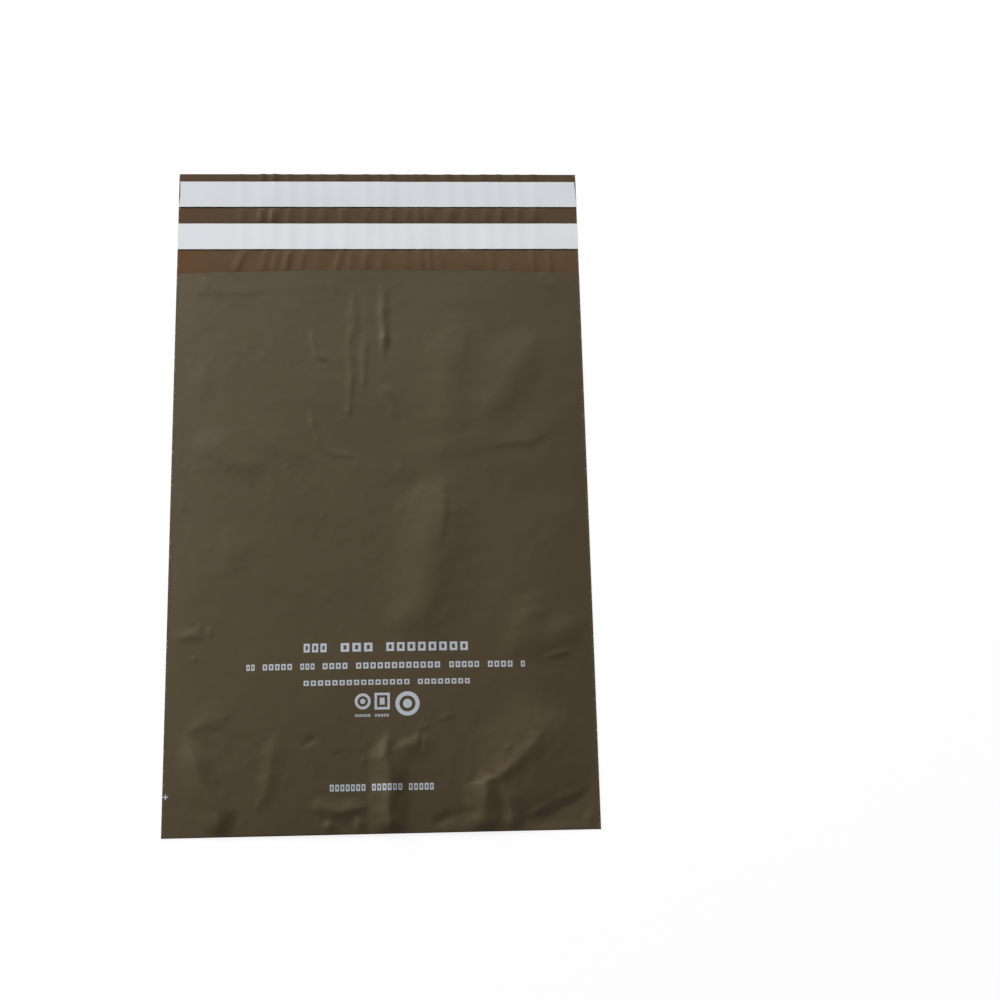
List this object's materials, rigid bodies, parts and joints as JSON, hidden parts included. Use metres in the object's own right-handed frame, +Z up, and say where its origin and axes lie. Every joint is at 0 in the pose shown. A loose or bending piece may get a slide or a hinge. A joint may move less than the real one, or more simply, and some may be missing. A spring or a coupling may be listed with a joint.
{
  "type": "poly mailer bag",
  "caption": "Flat rectangular mailing bag of thin brown film: folded bottom, welded sides, open pocket and an open flap with two glue bands under white release liners.",
  "frame": {"origin": "on the table under the middle of the flat bag's outline, flap included", "axes": "+X across the bag, +Y from the bottom fold to the flap's free edge, +Z up, out of the face with the strips"},
  "size_m": [0.25, 0.41, 0.0082],
  "materials": {
    "film": "satin, dark brown compostable film, printed in pale ink",
    "glue": "tacky, pale, pressure-sensitive glue",
    "release_liner": "smooth, cool white release liner"
  },
  "bodies": {
    "root": {"film_bag": "film", "inner_glue_band": "glue", "inner_release_liner": "release_liner", "outer_glue_band": "glue", "outer_release_liner": "release_liner"}
  },
  "joints": []
}
